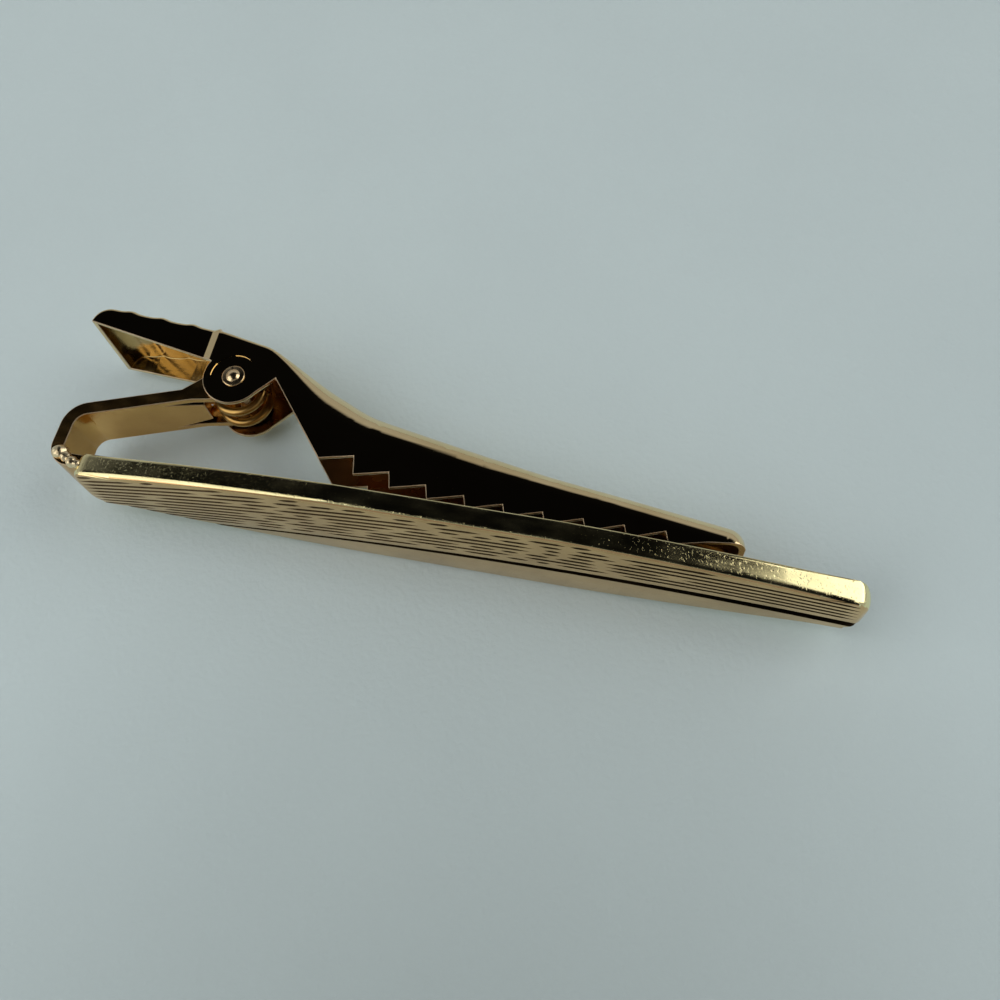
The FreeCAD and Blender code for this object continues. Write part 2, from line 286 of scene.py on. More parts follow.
def disc(name, radius, centre_x, centre_z, front, back, sides):
    """A flat round blank that stands across the bar's thickness."""
    bpy.ops.object.select_all(action="DESELECT")
    bpy.ops.mesh.primitive_cylinder_add(
        vertices=sides, radius=radius * mm, depth=(back - front) * mm,
        location=(centre_x * mm, (front + back) / 2 * mm, centre_z * mm), rotation=(math.pi / 2, 0, 0))
    blank = bpy.context.active_object
    blank.name = name
    settle(blank)
    return blank


# How the finishes' grain is stretched along a piece, and how deep its scratches are
even_grain = (1.0, 1.0, 1.0)
rubbed_grain = (0.5, 1.0, 1.0)
scratch_grain = (0.25, 3.0, 3.0)
scratch_depth = 0.02


def new_finish(name):
    finish = bpy.data.materials.new(name)
    finish.use_nodes = True
    nodes = finish.node_tree.nodes
    return finish, nodes, finish.node_tree.links, nodes["Principled BSDF"]


def grain(nodes, links, scale, stretch, detail):
    """Noise on the piece's own coordinates, stretched along its axes."""
    place = nodes.new("ShaderNodeTexCoord")
    turn = nodes.new("ShaderNodeMapping")
    turn.inputs["Scale"].default_value = stretch
    noise = nodes.new("ShaderNodeTexNoise")
    noise.inputs["Scale"].default_value = scale
    noise.inputs["Detail"].default_value = detail
    links.new(place.outputs["Object"], turn.inputs["Vector"])
    links.new(turn.outputs["Vector"], noise.inputs["Vector"])
    return noise


def ramp(nodes, links, source, low, high, low_value, high_value):
    """Map a source from one range to another, held at the ends."""
    spread = nodes.new("ShaderNodeMapRange")
    spread.inputs["From Min"].default_value = low
    spread.inputs["From Max"].default_value = high
    spread.inputs["To Min"].default_value = low_value
    spread.inputs["To Max"].default_value = high_value
    links.new(source, spread.inputs["Value"])
    return spread.outputs["Result"]


def plated_gold(name, bright, worn, gloss, dull, scratch, pitted=False):
    """Gold plate: a cloudy tone from bright to worn, roughness from gloss to dull, and scratches or pits."""
    finish, nodes, links, metal = new_finish(name)
    metal.inputs["Metallic"].default_value = 1.0
    cloud = grain(nodes, links, scale=260.0, stretch=even_grain, detail=4.0)
    tone = nodes.new("ShaderNodeMixRGB")
    tone.inputs["Color1"].default_value = bright + (1.0,)
    tone.inputs["Color2"].default_value = worn + (1.0,)
    wear = ramp(nodes, links, cloud.outputs["Fac"], low=0.35, high=0.75, low_value=0.0, high_value=1.0)
    links.new(wear, tone.inputs["Fac"])
    links.new(tone.outputs["Color"], metal.inputs["Base Color"])
    rub = grain(nodes, links, scale=900.0, stretch=rubbed_grain, detail=5.0)
    dulling = ramp(nodes, links, rub.outputs["Fac"], low=0.3, high=0.75, low_value=gloss, high_value=dull)
    links.new(dulling, metal.inputs["Roughness"])
    if pitted:
        specks = grain(nodes, links, scale=5200.0, stretch=even_grain, detail=3.0)
        height = ramp(nodes, links, specks.outputs["Fac"], low=0.58, high=0.8, low_value=1.0, high_value=0.0)
    else:
        height = grain(nodes, links, scale=1500.0, stretch=scratch_grain, detail=6.0).outputs["Fac"]
    relief = nodes.new("ShaderNodeBump")
    relief.inputs["Strength"].default_value = scratch
    relief.inputs["Distance"].default_value = scratch_depth * mm
    links.new(height, relief.inputs["Height"])
    links.new(relief.outputs["Normal"], metal.inputs["Normal"])
    return finish


bar_gold = plated_gold("rolled_gold_bar", (0.72, 0.49, 0.235), (0.55, 0.36, 0.165), 0.08, 0.18, 0.25)
rim_gold = plated_gold("speckled_gold_rim", (0.95, 0.86, 0.47), (0.76, 0.66, 0.34), 0.09, 0.23, 0.38,
                       pitted=True)
# Rounded edges of the strap and jaw: the roughness stands for burred edges, the pale colour is a painted
# highlight
pale_edge_painted_highlight = plated_gold("pale_edge_painted_highlight", (0.86, 0.69, 0.46), (0.68, 0.51, 0.32), 0.35, 0.55, 0.2)
strap_gold = plated_gold("rolled_gold_strap", (0.76, 0.46, 0.16), (0.60, 0.34, 0.11), 0.12, 0.26, 0.3)
jaw_gold = plated_gold("pressed_gold_jaw", (0.83, 0.65, 0.36), (0.72, 0.54, 0.27), 0.03, 0.09, 0.12)
# Insides of the jaw and of its tab: the same plate painted darker and more orange, as painted shade in the
# channel
jaw_inside_painted_shade = plated_gold("jaw_inside_painted_shade", (0.42, 0.24, 0.09), (0.27, 0.14, 0.05), 0.2, 0.4, 0.2)
tab_inside_painted_shade = plated_gold("tab_inside_painted_shade", (0.60, 0.43, 0.18), (0.40, 0.27, 0.10), 0.1, 0.28, 0.5)
pin_gold = plated_gold("rivet_gold", (0.90, 0.68, 0.40), (0.72, 0.50, 0.28), 0.14, 0.3, 0.2)
wire_gold = plated_gold("spring_wire_gold", (0.62, 0.40, 0.13), (0.46, 0.27, 0.08), 0.25, 0.42, 0.2)
solder_metal = plated_gold("bright_solder", (0.94, 0.82, 0.55), (0.78, 0.63, 0.38), 0.22, 0.42, 0.4)
# Near black on the cut faces of the border groove, the engraved lines and the strap's slits: painted shade in
# the cuts
cut_painted_shade = plated_gold("cut_faces_painted_shade", (0.06, 0.042, 0.022), (0.035, 0.024, 0.013), 0.35, 0.6, 0.3)


def line_height(circle, x):
    """Height of a circle about the groove's centre, where it passes x."""
    return groove_centre[1] + math.sqrt(circle ** 2 - (x - groove_centre[0]) ** 2)


def outline_height(x):
    return min(bar_half_height, math.sqrt(edge_circle_radius ** 2 - x * x) - edge_circle_drop)


def dome_front(piece):
    """Let the front fall back towards the bar's long edges, more where the bar is taller."""
    for corner in piece.data.vertices:
        share = max(0.0, 1 - max(0.0, corner.co.y) / (bar_thickness * mm))
        height = min(abs(corner.co.z), bar_half_height * mm)
        corner.co.y += share * height ** 2 / (2 * face_dome_radius * mm)
    piece.data.update()


def bar_blank():
    """The lens outline, from two large discs, trimmed at the flats and the ends."""
    bar = disc("engraved_bar", edge_circle_radius, 0.0, -edge_circle_drop, 0.0, bar_thickness, outline_sides)
    upper = disc("upper", edge_circle_radius, 0.0, edge_circle_drop,
                 -cutter_overrun, bar_thickness + cutter_overrun, outline_sides)
    carve(bar, upper, "INTERSECT")
    for way in (1, -1):
        slice_at(bar, (0, 0, way * bar_half_height), (0, 0, way), True)
        slice_at(bar, (way * bar_half_length, 0, 0), (way, 0, 0), True)
    bar.data.materials.clear()
    bar.data.materials.append(bar_gold)
    return bar


def round_bar_edges(bar):
    def at_corner(a, b):
        across = abs(a.y - b.y) > bar_thickness / 2
        return across and min(abs(a.x), abs(b.x)) > bar_half_length - end_slack

    def on_front(a, b):
        return max(a.y, b.y) < level_slack

    def on_back(a, b):
        return min(a.y, b.y) > bar_thickness - level_slack

    bevel_edges(bar, at_corner, corner_setback, corner_steps)
    bevel_edges(bar, on_front, front_edge_round, front_edge_steps)
    bevel_edges(bar, on_back, back_edge_break, back_edge_steps)


def round_ends(bar):
    """Bulge the two end faces across the bar's thickness."""
    for level in end_levels:
        slice_at(bar, (0, level, 0), (0, 1, 0), False)
    middle = bar_thickness / 2
    for corner in bar.data.vertices:
        share = max(0.0, abs(corner.co.x) / mm - bar_half_length + end_bulge_run) / end_bulge_run
        aside = (corner.co.y / mm - middle) / middle
        corner.co.x -= math.copysign(share * end_bulge * aside ** 2 * mm, corner.co.x)
    bar.data.update()


def finish_rim(bar):
    """Give the bar's rim, all that faces up, down or to the ends, its speckled finish."""
    bar.data.materials.append(rim_gold)
    for face in bar.data.polygons:
        if abs(face.normal.y) < rim_lean:
            face.material_index = 1


def cut_foot_seat(bar):
    bpy.ops.object.select_all(action="DESELECT")
    bpy.ops.mesh.primitive_cube_add(size=1.0)
    seat = bpy.context.active_object
    length = foot_seat_length + seat_overrun
    seat.scale = (length * mm, 2 * foot_seat_depth * mm, 2 * foot_half_width * mm)
    seat.location = ((foot_seat_length - bar_half_length - length / 2) * mm, bar_thickness * mm, 0)
    settle(seat)
    seat.data.materials.append(bar_gold)
    carve(bar, seat)


def cut_border_groove(bar):
    x, z = groove_centre
    half = groove_width / 2
    band = disc("groove_band", groove_circle_radius + half, x, z,
                -cutter_overrun, groove_depth, groove_sides)
    inner = disc("groove_inner", groove_circle_radius - half, x - groove_flare, z,
                 -2 * cutter_overrun, cutter_overrun, groove_sides)
    carve(band, inner)
    # The groove's cut faces take the near-black painted shade
    band.data.materials.clear()
    band.data.materials.append(cut_painted_shade)
    dome_front(band)
    carve(bar, band)


def engraved_stroke(circle, start, end):
    """One graver's stroke: a small wedge spun along its circle, thinning out at both ends."""
    x, z = groove_centre
    first = math.asin((start - x) / circle)
    last = math.asin((end - x) / circle)
    bpy.ops.object.select_all(action="DESELECT")
    bpy.ops.mesh.primitive_circle_add(vertices=3, radius=line_half_width * mm, fill_type="NGON")
    stroke = bpy.context.active_object
    # A third of the wedge stands proud of the face, so it is a third wider there than the line
    proud = line_depth / 3
    wedge = ((0.0, line_depth), (line_half_width, -proud), (-line_half_width, -proud))
    for corner, (across, deep) in zip(stroke.data.vertices, wedge):
        reach = circle + across * 4 / 3
        corner.co = Vector((x + reach * math.sin(first), deep, z + reach * math.cos(first))) * mm
    steps = max(fewest_line_steps, int((end - start) / line_step))
    bpy.ops.object.mode_set(mode="EDIT")
    bpy.ops.mesh.select_all(action="SELECT")
    bpy.ops.mesh.spin(steps=steps, angle=first - last, center=(x * mm, 0, z * mm), axis=(0, 1, 0))
    bpy.ops.object.mode_set(mode="OBJECT")
    taper = min(line_fade, (end - start) / 3)
    for corner in stroke.data.vertices:
        along = corner.co.x / mm
        fade = max(0.0, 1 - min(along - start, end - along) / taper)
        corner.co.y -= fade * line_depth * line_fade_lift * mm
    recalculate_outside(stroke)
    return stroke


def row_span(circle):
    """Where a row of strokes enters and leaves the front face."""
    inside = []
    for probe in range(-probe_count, probe_count + 1):
        x = probe / probes_per_mm
        edge = outline_height(x)
        if -edge - line_margin < line_height(circle, x) < edge - line_margin:
            inside.append(x)
    return (inside[0], inside[-1]) if inside else (0.0, 0.0)


def engraved_lines(bar):
    """Rows of strokes between the border groove and the top edge, broken by small plain patches."""
    hand = random.Random(engraver_seed)
    strokes = []
    for row in range(line_count):
        circle = groove_circle_radius + first_line + line_spacing * row
        where, end = row_span(circle)
        for patch in plain_patches + (end + past_the_end,):
            centre = patch + hand.uniform(-patch_wander, patch_wander)
            half_gap = hand.uniform(*patch_half_gaps)
            chance = middle_break_chance if abs(patch) < middle_half_length else end_break_chance
            broken = hand.random() < chance
            last = patch > end
            if not last and (not broken or centre - half_gap < where + patch_clearance):
                continue
            stop = end if last else min(end, centre - half_gap)
            if stop - where > shortest_line:
                strokes.append(engraved_stroke(circle, where, stop))
            if last or stop == end:
                break
            where = centre + half_gap
    cutter = strokes[0]
    choose(cutter)
    for stroke in strokes[1:]:
        stroke.select_set(True)
    bpy.ops.object.join()
    # The lines' cut faces take the near-black painted shade
    cutter.data.materials.clear()
    cutter.data.materials.append(cut_painted_shade)
    dome_front(cutter)
    carve(bar, cutter)


def engraved_bar():
    bar = bar_blank()
    round_bar_edges(bar)
    for row in range(-dome_rows, dome_rows + 1):
        slice_at(bar, (0, 0, row * dome_row_spacing), (0, 0, 1), False)
    round_ends(bar)
    dome_front(bar)
    finish_rim(bar)
    cut_foot_seat(bar)
    cut_border_groove(bar)
    engraved_lines(bar)
    smooth(bar, degrees=30)
    return bar


def node_copy(node, name, finish):
    """A new piece with a node's shape, its loose triangles merged into whole faces."""
    piece = bpy.data.objects.new(name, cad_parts[node].data.copy())
    bpy.context.scene.collection.objects.link(piece)
    piece.data.materials.clear()
    piece.data.materials.append(finish)
    choose(piece)
    bpy.ops.object.mode_set(mode="EDIT")
    bpy.ops.mesh.select_all(action="SELECT")
    bpy.ops.mesh.remove_doubles(threshold=weld_distance * mm)
    bpy.ops.object.mode_set(mode="OBJECT")
    return piece


def soften_edges(piece, width, segments, edge_finish, shortest):
    """Merge short edges, flatten each plane into whole faces, then round the sharp edges and give the
    roundings the edge finish.
    """
    piece.data.materials.append(edge_finish)
    choose(piece)
    bpy.ops.object.mode_set(mode="EDIT")
    bpy.ops.mesh.select_all(action="SELECT")
    bpy.ops.mesh.remove_doubles(threshold=shortest * mm)
    bpy.ops.mesh.dissolve_limited(angle_limit=math.radians(flat_angle))
    bpy.ops.object.mode_set(mode="OBJECT")
    rounding = piece.modifiers.new("round", "BEVEL")
    rounding.width = width * mm
    rounding.segments = segments
    rounding.limit_method = "ANGLE"
    rounding.angle_limit = math.radians(sharp_angle)
    rounding.use_clamp_overlap = False
    rounding.material = len(piece.data.materials) - 1
    bpy.ops.object.modifier_apply(modifier=rounding.name)


def rounded_row(corners, radii):
    """A close row of points through the corners, each inner corner rounded by its radius."""
    points = [corners[0]]
    for before, corner, after, radius in zip(corners, corners[1:], corners[2:], radii):
        back = (before - corner).normalized()
        ahead = (after - corner).normalized()
        half_turn = (math.pi - back.angle(ahead)) / 2
        setback = radius * math.tan(half_turn)
        middle = (back + ahead).normalized()
        centre = corner + middle * (radius / math.cos(half_turn))
        first = corner + back * setback - centre
        last = corner + ahead * setback - centre
        for step in range(bend_steps + 1):
            points.append(centre + first.slerp(last, step / bend_steps) * radius)
    return points


def back_line():
    """The line of the jaw's back, with the nose turned down."""
    corners = [Vector(corner) for corner in back_corners]
    corners.append(corners[-1] - Vector((0.0, nose_depth)))
    return rounded_row(corners, back_rounds + (nose_round,))


def between(x, row):
    """Height at x on a row of points."""
    for (x0, y0), (x1, y1) in zip(row, row[1:]):
        if x0 <= x <= x1:
            return y0 + (y1 - y0) * (x - x0) / max(x1 - x0, no_length)
    return row[0][1] if x < row[0][0] else row[-1][1]


def ease(x, start, end):
    share = min(1.0, max(0.0, (x - start) / (end - start)))
    return share * share * (3 - 2 * share)


def back_height(x, row):
    """Height of the jaw's back at x, with the tab's cross ribs and its rounded tip."""
    if x > joggle_x:
        return between(x, row)
    height = tab_tip[1]
    for rib in ribs:
        height += rib_rise * math.exp(-((x - rib) / rib_half_length) ** 2)
    into = tab_tip_round - (x - tab_tip[0])
    if into > 0:
        height -= tab_tip_round - math.sqrt(max(0.0, tab_tip_round ** 2 - into ** 2))
    return height


def half_width(x):
    if x < joggle_x:
        tip_half, waist_half = tab_half_widths
        share = (x - tab_tip[0]) / (tab_edge[1][0] - tab_tip[0])
        flare = tip_half + (waist_half - tip_half) * min(1.0, share)
        return flare + (jaw_half_width - flare) * min(1.0, max(0.0, 1 - (joggle_x - x) / joggle_run))
    return jaw_half_width


def bend_radius(x):
    """Tight bends at the tab and the hinge, a full round back along the teeth."""
    return tab_bend + back_bend_gain * ease(x, *back_bend_run) - nose_bend_loss * ease(x, *nose_bend_run)


def channel_stations():
    """Places along the jaw, each with the height, half width and bend of its section."""
    row = back_line()
    nose = back_corners[-1][0]
    tip = tab_tip[0] + tip_inset
    places = [tip + tab_tip_round * (1 - math.cos(step * math.pi / (2 * tip_places)))
              for step in range(tip_places + 1)]
    places += [tab_tip[0] + tab_tip_round + tab_spacing * step for step in range(1, tab_places)]
    places = [x for x in places if x < joggle_x - end_slack] + [joggle_x + end_slack]
    backs = [joggle_x + back_spacing * step for step in range(1, back_places)]
    places += [x for x in backs if x < nose - nose_clearance]
    places += [nose - end_slack - nose_run * (1 - math.sin(step * math.pi / (2 * nose_places)))
               for step in range(nose_places + 1)]
    return [(x, back_height(x, row), half_width(x), bend_radius(x)) for x in places]


def channel_solid(name, inset, finish):
    """A closed trough: a grid folded into a round-backed channel, bridged below and filled at its ends."""
    def on_rim(a, b):
        return max(a.y, b.y) < trough_floor + rim_reach

    stations = channel_stations()
    across = 2 * bend_lines + 2
    bpy.ops.object.select_all(action="DESELECT")
    bpy.ops.mesh.primitive_grid_add(x_subdivisions=len(stations) - 1, y_subdivisions=across - 1, size=1.0)
    channel = bpy.context.active_object
    channel.name = name
    columns = len(stations)
    last_x = stations[-1][0] - stations[0][0]
    for index, corner in enumerate(channel.data.vertices):
        column, line = index % columns, index // columns
        x, back, half, radius = stations[column]
        after = stations[min(column + 1, columns - 1)]
        before = stations[max(column - 1, 0)]
        slope = (after[1] - before[1]) / max(no_length, after[0] - before[0])
        stretch = min(most_stretch, math.sqrt(1 + slope * slope))
        half -= inset
        radius = max(least_bend, radius - inset)
        top = back - inset * stretch
        if inset:
            x = stations[0][0] + inset + (x - stations[0][0]) * (last_x - 2 * inset) / last_x
        side = 1 if line < across / 2 else -1
        step = line if side > 0 else across - 1 - line
        if step == 0:
            y, z = trough_floor - inset, half
        else:
            lean = (step - 1) / (bend_lines - 1) * math.pi / 2
            y = top - radius * stretch * (1 - math.sin(lean))
            z = half - radius * (1 - math.cos(lean))
        corner.co = Vector((x, y, side * z)) * mm
    choose(channel)
    bpy.ops.object.mode_set(mode="EDIT")
    pick_edges(channel, on_rim)
    bpy.ops.mesh.bridge_edge_loops()
    bpy.ops.mesh.select_all(action="DESELECT")
    bpy.ops.mesh.select_non_manifold()
    bpy.ops.mesh.fill_holes(sides=0)
    bpy.ops.object.mode_set(mode="OBJECT")
    recalculate_outside(channel)
    channel.data.materials.clear()
    channel.data.materials.append(finish)
    return channel


def cheek_outline():
    """The edge of a cheek: tab, joggle, lobe about the pin, crook, teeth and nose."""
    pin = Vector(hinge_pin)
    tip_x = tab_tip[0] - cutter_overrun
    edge = [Vector((tip_x, tab_edge[0][1] + tab_edge_rise)), Vector(tab_edge[1]), Vector(joggle_foot)]
    start, end = lobe_turn
    for step in range(round_steps + 1):
        angle = math.radians(start + step * (end - start) / round_steps)
        edge.append(pin + Vector((math.cos(angle), math.sin(angle))) * lobe_radius)
    edge.append(Vector(crook))
    reach = last_tip[0] - first_tip[0]
    pitch = reach / tooth_spaces
    for space in range(tooth_spaces + 1):
        left = 1 - space / tooth_spaces
        lift = last_tip[1] + (first_tip[1] - last_tip[1]) * left ** tip_lift_power
        tip = Vector((first_tip[0] + space * pitch, bar_thickness + lift))
        rise = tooth_rise + space * tooth_rise_growth if space < tooth_spaces else nose_lift
        edge += [tip, tip + Vector((pitch - tooth_step, rise))]
    nose = Vector((back_corners[-1][0], nose_edge))
    past_nose = nose + Vector((cutter_overrun, nose_edge_rise))
    edge += [nose, past_nose, Vector((past_nose.x, cheek_top)), Vector((tip_x, cheek_top))]
    return edge


def outline_prism(name, outline, low, high, finish):
    """A flat outline, placed point by point and drawn up across the jaw or strap."""
    bpy.ops.object.select_all(action="DESELECT")
    bpy.ops.mesh.primitive_circle_add(vertices=len(outline), radius=mm, fill_type="NGON")
    prism = bpy.context.active_object
    prism.name = name
    for corner, (x, y) in zip(prism.data.vertices, outline):
        corner.co = Vector((x, y, low)) * mm
    bpy.ops.object.mode_set(mode="EDIT")
    bpy.ops.mesh.select_all(action="SELECT")
    bpy.ops.mesh.extrude_region_move(TRANSFORM_OT_translate={"value": (0, 0, (high - low) * mm)})
    bpy.ops.object.mode_set(mode="OBJECT")
    recalculate_outside(prism)
    prism.data.materials.clear()
    prism.data.materials.append(finish)
    return prism


def post(name, radius, low, high, sides, finish):
    """A round post on the hinge pin's line."""
    bpy.ops.object.select_all(action="DESELECT")
    bpy.ops.mesh.primitive_cylinder_add(
        vertices=sides, radius=radius * mm, depth=(high - low) * mm,
        location=(hinge_pin[0] * mm, hinge_pin[1] * mm, (low + high) / 2 * mm))
    piece = bpy.context.active_object
    piece.name = name
    settle(piece)
    piece.data.materials.append(finish)
    return piece


def pressed_jaw():
    jaw = channel_solid("toothed_jaw", 0.0, jaw_gold)
    cheeks = outline_prism("cheeks", cheek_outline(), -cheek_reach, cheek_reach, jaw_gold)
    carve(jaw, cheeks, "INTERSECT")
    # The hollow's faces take the dark inside finish, a painted shade; in the tab they take a lighter painted
    # shade
    carve(jaw, channel_solid("hollow", sheet, jaw_inside_painted_shade))
    finishes = jaw.data.materials
    finishes.append(tab_inside_painted_shade)
    for face in jaw.data.polygons:
        if finishes[face.material_index] == jaw_inside_painted_shade and face.center.x < joggle_x * mm:
            face.material_index = len(finishes) - 1
    return jaw


def sink_lobes(jaw):
    """A shallow round recess in each lobe, and the hole for the pin."""
    recess_radius, recess_depth = lobe_recess
    for way in (1, -1):
        face = way * (jaw_half_width - recess_depth)
        low, high = sorted((face, way * hole_reach))
        carve(jaw, post("recess", recess_radius, low, high, recess_sides, jaw_gold))
    carve(jaw, post("pin_hole", jaw_hole_radius, -hole_reach, hole_reach, hole_sides, jaw_gold))


def arm_point(along, off):
    """A point by its distance along the strap's arm from the pin and off the pin's own line."""
    lean = math.radians(arm_angle)
    way = Vector((math.cos(lean), math.sin(lean)))
    return Vector(hinge_pin) + way * along + Vector((-way.y, way.x)) * off


def strip_outline(row, thickness):
    """The outline of a strip of even thickness about a row of points."""
    sides = ([], [])
    for before, point, after in zip(row[:1] + row, row, row[1:] + row[-1:]):
        way = (after - before).normalized()
        offset = Vector((-way.y, way.x)) * (thickness / 2)
        sides[0].append(point + offset)
        sides[1].append(point - offset)
    return sides[0] + sides[1][::-1]


def ear_outline():
    """A hinge ear: a disc about the pin that tapers into the arm."""
    root = arm_point(-ear_root, -arm_below_pin)
    span = root - Vector(hinge_pin)
    lean = math.acos((ear_radius - ear_root_radius) / span.length)
    way = math.atan2(span.y, span.x)
    ends = ((Vector(hinge_pin), ear_radius, way + lean, 2 * math.pi - 2 * lean),
            (root, ear_root_radius, way - lean, 2 * lean))
    outline = []
    for centre, radius, start, turn in ends:
        for step in range(round_steps + 1):
            angle = start + turn * step / round_steps
            outline.append(centre + Vector((math.cos(angle), math.sin(angle))) * radius)
    return outline


def relief_wedge(way):
    """The slit between the tongue and an ear."""
    low = -arm_below_pin - strap_thickness
    near = arm_point(-tongue_end + cutter_overrun, low)
    far = arm_point(-tongue_end - relief_length, low)
    normal = arm_point(0.0, 2 * strap_thickness) - Vector(hinge_pin)
    bpy.ops.object.select_all(action="DESELECT")
    bpy.ops.mesh.primitive_circle_add(vertices=3, radius=mm, fill_type="NGON")
    wedge = bpy.context.active_object
    wide = ear_inside - relief_width
    outline = ((near, ear_inside), (near, wide), (far, ear_inside))
    for corner, (place, z) in zip(wedge.data.vertices, outline):
        corner.co = Vector((place.x, place.y, way * z)) * mm
    bpy.ops.object.mode_set(mode="EDIT")
    bpy.ops.mesh.select_all(action="SELECT")
    bpy.ops.mesh.extrude_region_move(TRANSFORM_OT_translate={"value": (normal.x * mm, normal.y * mm, 0)})
    bpy.ops.object.mode_set(mode="OBJECT")
    recalculate_outside(wedge)
    # The slit's cut faces take the near-black painted shade
    wedge.data.materials.append(cut_painted_shade)
    return wedge


def bent_strap():
    tongue = arm_point(-tongue_end, -arm_below_pin)
    bend_x = -bar_half_length - strap_reach
    fall = (tongue.x - bend_x) * math.tan(math.radians(arm_angle))
    foot_y = bar_thickness - strap_thickness / 2
    corners = [Vector((foot_seat_length - bar_half_length, foot_y)), Vector((bend_x, foot_y)),
               Vector((bend_x, tongue.y - fall)), tongue]
    row = rounded_row(corners, strap_bends) + [tongue]
    outline = strip_outline(row, strap_thickness)
    strap = outline_prism("bent_strap", outline, -foot_half_width, foot_half_width, strap_gold)
    for way in (1, -1):
        carve(strap, relief_wedge(way))
    for way in (1, -1):
        low, high = sorted((way * ear_inside, way * foot_half_width))
        carve(strap, outline_prism("ear", ear_outline(), low, high, strap_gold), "UNION")
    carve(strap, post("ear_hole", ear_hole_radius, -hole_reach, hole_reach, hole_sides, strap_gold))
    return strap


def riveted_pin():
    """A pin with a thin flange and a small rounded boss at each end."""
    pin = post("hinge_pin", pin_radius, -pin_half_length, pin_half_length, pin_sides, pin_gold)
    for way in (1, -1):
        low, high = sorted(way * face for face in flange_faces)
        carve(pin, post("flange", flange_radius, low, high, pin_sides, pin_gold), "UNION")
        bpy.ops.object.select_all(action="DESELECT")
        bpy.ops.mesh.primitive_uv_sphere_add(segments=32, ring_count=16, radius=boss_radius * mm)
        boss = bpy.context.active_object
        boss.scale.z = boss_flatness
        boss.location = Vector((hinge_pin[0], hinge_pin[1], way * boss_seat)) * mm
        settle(boss)
        boss.data.materials.append(pin_gold)
        carve(pin, boss, "UNION")
    return pin


def solder_lumps():
    """Rough lumps of solder run along the foot's edges at the bar's end."""
    drops = []
    for way in (1, -1):
        for x, y, z, radius in solder_drops:
            bpy.ops.object.select_all(action="DESELECT")
            bpy.ops.mesh.primitive_ico_sphere_add(subdivisions=3, radius=radius * mm,
                                                  location=(x * mm, y * mm, way * z * mm))
            drops.append(bpy.context.active_object)
    lumps = drops[0]
    lumps.name = "solder_lumps"
    choose(lumps)
    for drop in drops:
        drop.select_set(True)
    bpy.ops.object.join()
    settle(lumps)
    melt = lumps.modifiers.new("melt", "REMESH")
    melt.mode = "VOXEL"
    melt.voxel_size = solder_voxel * mm
    bpy.ops.object.modifier_apply(modifier=melt.name)
    clouds = bpy.data.textures.new("lumpy", "CLOUDS")
    clouds.noise_scale = solder_lump_size * mm
    rough = lumps.modifiers.new("rough", "DISPLACE")
    rough.texture = clouds
    rough.strength = solder_lump_rise * mm
    bpy.ops.object.modifier_apply(modifier=rough.name)
    lumps.data.materials.clear()
    lumps.data.materials.append(solder_metal)
    return lumps


# Table and room: colours, the painted shadow in front of the clip and the table's tooth, and the room's levels
# from below to above
table_light = (0.635, 0.752, 0.767, 1.0)
table_dark = (0.59, 0.697, 0.712, 1.0)
# Tint of the painted shadow that darkens the table in front of the clip
painted_shadow_tint = (0.6, 0.6, 0.59, 1.0)
table_roughness = 0.85
table_size = 3.0
# Place and size of that painted shadow
painted_shadow_place = (-0.2, 0.85, 0.0)
painted_shadow_scale = (20.0, 20.0, 20.0)
paper_strength = 0.6
paper_depth = 0.1
room_below = (0.38, 0.4, 0.41, 1.0)
room_above = (0.0015, 0.0015, 0.002, 1.0)
room_levels = ((0.45, 0.42), (0.55, 0.28), (0.64, 0.004))
room_green = 1.02
room_blue = 1.05
window_white = (1.0, 0.98, 0.95)
ceiling_white = (1.0, 0.99, 0.97)


def floor_finish():
    """Pale paper with a faint tooth, and a painted shadow that dims it round one place in front of the clip.
    """
    finish, nodes, links, paper = new_finish("pale_table")
    paper.inputs["Roughness"].default_value = table_roughness
    cloud = grain(nodes, links, scale=60.0, stretch=even_grain, detail=3.0)
    tone = nodes.new("ShaderNodeMixRGB")
    tone.inputs["Color1"].default_value = table_light
    tone.inputs["Color2"].default_value = table_dark
    links.new(cloud.outputs["Fac"], tone.inputs["Fac"])
    # Painted shadow: the table's colour is multiplied darker in a round patch in front of the clip
    place = nodes.new("ShaderNodeTexCoord")
    centre = nodes.new("ShaderNodeMapping")
    centre.inputs["Location"].default_value = painted_shadow_place
    centre.inputs["Scale"].default_value = painted_shadow_scale
    painted_shadow_pool = nodes.new("ShaderNodeTexGradient")
    painted_shadow_pool.gradient_type = "SPHERICAL"
    links.new(place.outputs["Object"], centre.inputs["Vector"])
    links.new(centre.outputs["Vector"], painted_shadow_pool.inputs["Vector"])
    dim = nodes.new("ShaderNodeMixRGB")
    dim.blend_type = "MULTIPLY"
    dim.inputs["Color2"].default_value = painted_shadow_tint
    links.new(painted_shadow_pool.outputs["Fac"], dim.inputs["Fac"])
    links.new(tone.outputs["Color"], dim.inputs["Color1"])
    links.new(dim.outputs["Color"], paper.inputs["Base Color"])
    tooth = grain(nodes, links, scale=2300.0, stretch=even_grain, detail=6.0)
    relief = nodes.new("ShaderNodeBump")
    relief.inputs["Strength"].default_value = paper_strength
    relief.inputs["Distance"].default_value = paper_depth * mm
    links.new(tooth.outputs["Fac"], relief.inputs["Height"])
    links.new(relief.outputs["Normal"], paper.inputs["Normal"])
    return finish


def set_floor():
    bpy.ops.object.select_all(action="DESELECT")
    bpy.ops.mesh.primitive_plane_add(size=table_size, location=(0, 0, -bar_half_height * mm))
    floor = bpy.context.active_object
    floor.name = "table"
    settle(floor)
    floor.data.materials.append(floor_finish())


